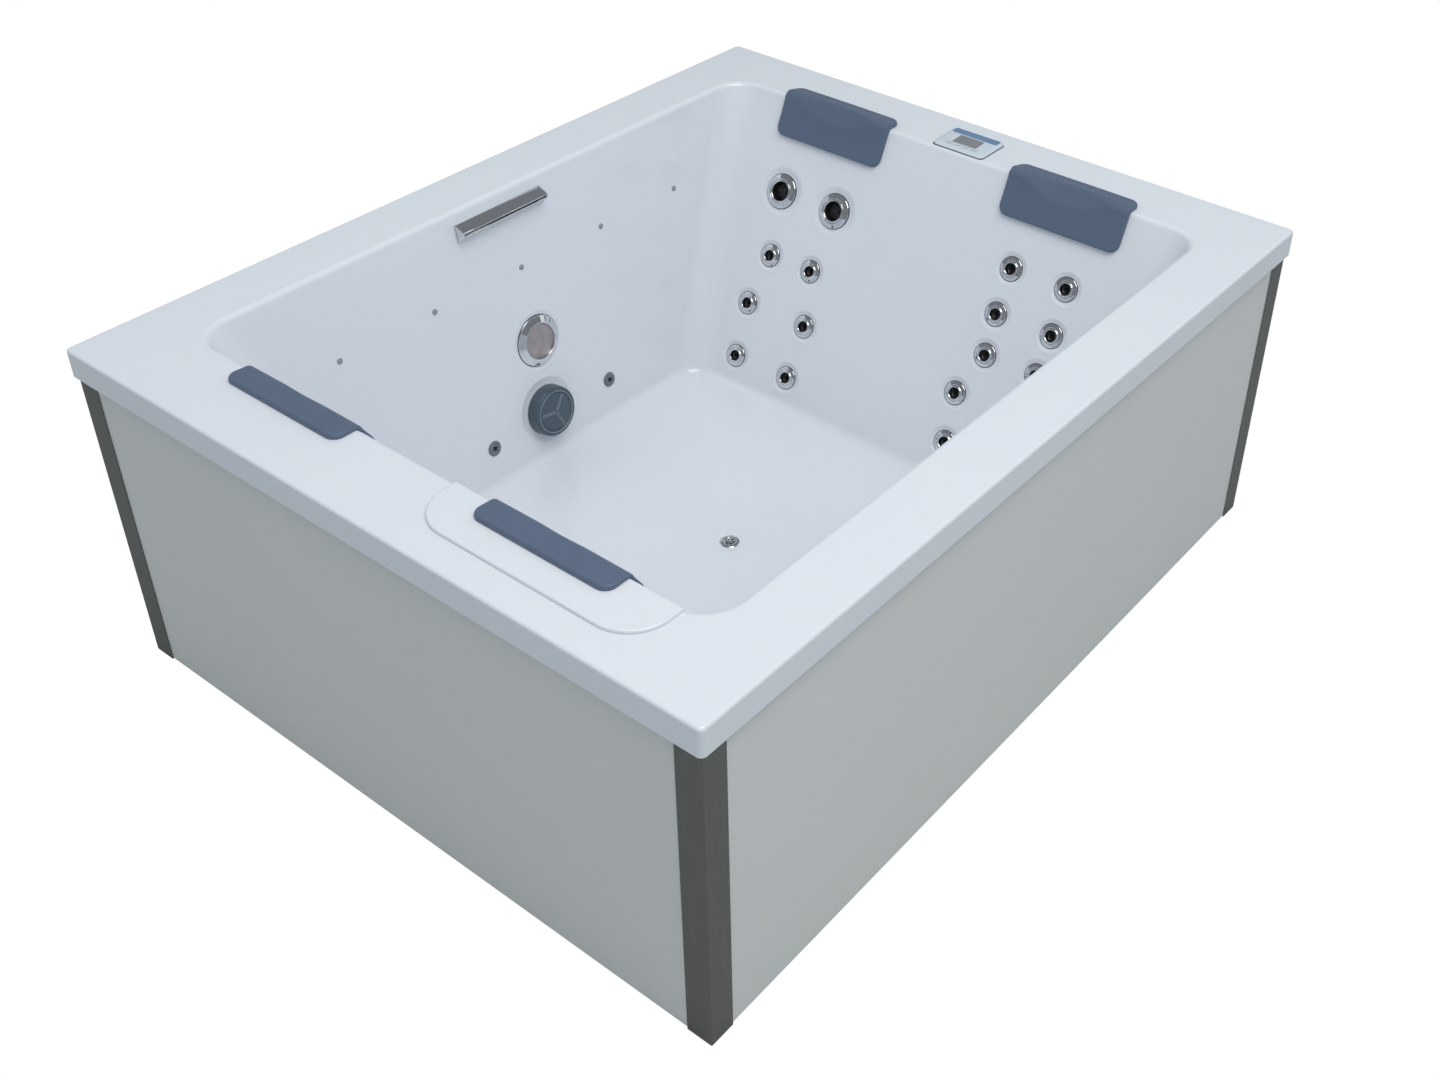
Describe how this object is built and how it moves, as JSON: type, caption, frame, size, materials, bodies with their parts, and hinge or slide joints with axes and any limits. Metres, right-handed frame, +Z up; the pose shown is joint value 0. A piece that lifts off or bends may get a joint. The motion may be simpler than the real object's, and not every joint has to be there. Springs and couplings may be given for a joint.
{
  "type": "hot tub",
  "caption": "Rectangular white acrylic hot tub with leaning backrests, grey skirt panels, neck pillows, jets, waterfall spout, light and rim keypad.",
  "frame": {"origin": "on the ground under the middle of the rim", "axes": "+X along the rim towards the keypad end, +Y towards the side with the light, +Z up"},
  "size_m": [2.044, 1.668, 0.8194],
  "materials": {
    "acrylic_white": "glossy acrylic",
    "panel_grey": "satin",
    "post_metal": "satin anodised",
    "frame_steel": "galvanised",
    "foot_rubber": "matte",
    "tray_plastic": "matte",
    "bearer_wood": "planed",
    "pillow_foam": "soft skinned foam",
    "chrome": "polished",
    "black_plastic": "matte",
    "injector_plastic": "matte",
    "suction_plastic": "satin",
    "lens": "frosted",
    "clear_light": "glossy",
    "bezel_plastic": "glossy",
    "display_grey": "glossy",
    "key_plastic": "satin",
    "pvc_white": "satin",
    "filter_white": "pleated fleece",
    "pump_black": "matte",
    "motor_paint": "satin",
    "heater_steel": "brushed"
  },
  "bodies": {
    "tub": {"tub_shell": "acrylic_white", "skirt_panel_filter_end": "panel_grey", "skirt_panel_keypad_end": "panel_grey", "skirt_panel_front": "panel_grey", "skirt_panel_rear": "panel_grey", "corner_post_filter_front": "post_metal", "corner_post_filter_rear": "post_metal", "corner_post_keypad_front": "post_metal", "corner_post_keypad_rear": "post_metal", "base_frame": "frame_steel", "frame_uprights": "frame_steel", "rubber_feet": "foot_rubber", "keypad_seal": "foot_rubber", "base_tray": "tray_plastic", "floor_bearers": "bearer_wood", "small_jet_rings": "chrome", "waterfall_spout": "chrome", "light_ring": "chrome", "drain_flange": "chrome", "small_jet_bodies": "black_plastic", "drain_grille": "black_plastic", "air_injectors": "injector_plastic", "suction_cover": "suction_plastic", "light_lens": "lens", "waterline_lights": "clear_light", "keypad_bezel": "bezel_plastic", "keypad_display": "display_grey", "large_jet_bodies": "pvc_white", "light_housing": "pvc_white", "suction_body": "pvc_white", "filter_housing": "pvc_white", "waste_pipe": "pvc_white", "manifold": "pvc_white", "suction_pipes": "pvc_white", "delivery_pipes": "pvc_white", "air_pipes": "pvc_white", "pump_body": "pump_black", "air_blower": "pump_black", "control_box": "pump_black", "pump_motor": "motor_paint", "heater": "heater_steel"},
    "filter_lid": {"filter_lid": "acrylic_white"},
    "filter_cartridge": {"filter_cartridge": "filter_white"},
    "pillow_filter_rear": {"pillow_filter_rear": "pillow_foam"},
    "pillow_filter_lid": {"pillow_filter_lid": "pillow_foam"},
    "pillow_keypad_rear": {"pillow_keypad_rear": "pillow_foam"},
    "pillow_keypad_front": {"pillow_keypad_front": "pillow_foam"},
    "jet_face_1": {"large_jet_face_1": "chrome"},
    "jet_face_2": {"large_jet_face_2": "chrome"},
    "jet_rotor_1": {"large_jet_rotor_1": "black_plastic"},
    "jet_rotor_2": {"large_jet_rotor_2": "black_plastic"},
    "key_1": {"keypad_key_1": "key_plastic"},
    "key_2": {"keypad_key_2": "key_plastic"},
    "key_3": {"keypad_key_3": "key_plastic"},
    "key_4": {"keypad_key_4": "key_plastic"}
  },
  "joints": [
    {"name": "filter_lid_lift", "type": "slide", "parent": "tub", "child": "filter_lid", "axis": [0, 0, 1], "range_m": [0, 0.12]},
    {"name": "filter_cartridge_turn", "type": "hinge", "parent": "tub", "child": "filter_cartridge", "pos_m": [-0.8573, -0.2, 0.45], "axis": [0, 0, 1], "range_deg": [0, 90]},
    {"name": "pillow_filter_rear_pull", "type": "slide", "parent": "tub", "child": "pillow_filter_rear", "axis": [1, 0, 0], "range_m": [0, 0.06]},
    {"name": "pillow_filter_lid_pull", "type": "slide", "parent": "filter_lid", "child": "pillow_filter_lid", "axis": [1, 0, 0], "range_m": [0, 0.06]},
    {"name": "pillow_keypad_rear_pull", "type": "slide", "parent": "tub", "child": "pillow_keypad_rear", "axis": [-1, 0, 0], "range_m": [0, 0.06]},
    {"name": "pillow_keypad_front_pull", "type": "slide", "parent": "tub", "child": "pillow_keypad_front", "axis": [-1, 0, 0], "range_m": [0, 0.06]},
    {"name": "jet_face_1_turn", "type": "hinge", "parent": "tub", "child": "jet_face_1", "pos_m": [0.7477, 0.451, 0.583], "axis": [-0.9045, 0, 0.4264], "range_deg": [0, 120]},
    {"name": "jet_rotor_1_spin", "type": "hinge", "parent": "jet_face_1", "child": "jet_rotor_1", "pos_m": [0.7477, 0.451, 0.583], "axis": [-0.9045, 0, 0.4264], "continuous": true},
    {"name": "jet_face_2_turn", "type": "hinge", "parent": "tub", "child": "jet_face_2", "pos_m": [0.7477, 0.277, 0.583], "axis": [-0.9045, 0, 0.4264], "range_deg": [0, 120]},
    {"name": "jet_rotor_2_spin", "type": "hinge", "parent": "jet_face_2", "child": "jet_rotor_2", "pos_m": [0.7477, 0.277, 0.583], "axis": [-0.9045, 0, 0.4264], "continuous": true},
    {"name": "key_1_press", "type": "slide", "parent": "tub", "child": "key_1", "axis": [0, 0, -1], "range_m": [0, 0.0008], "stiffness_N_per_m": 300},
    {"name": "key_2_press", "type": "slide", "parent": "tub", "child": "key_2", "axis": [0, 0, -1], "range_m": [0, 0.0008], "stiffness_N_per_m": 300},
    {"name": "key_3_press", "type": "slide", "parent": "tub", "child": "key_3", "axis": [0, 0, -1], "range_m": [0, 0.0008], "stiffness_N_per_m": 300},
    {"name": "key_4_press", "type": "slide", "parent": "tub", "child": "key_4", "axis": [0, 0, -1], "range_m": [0, 0.0008], "stiffness_N_per_m": 300}
  ]
}
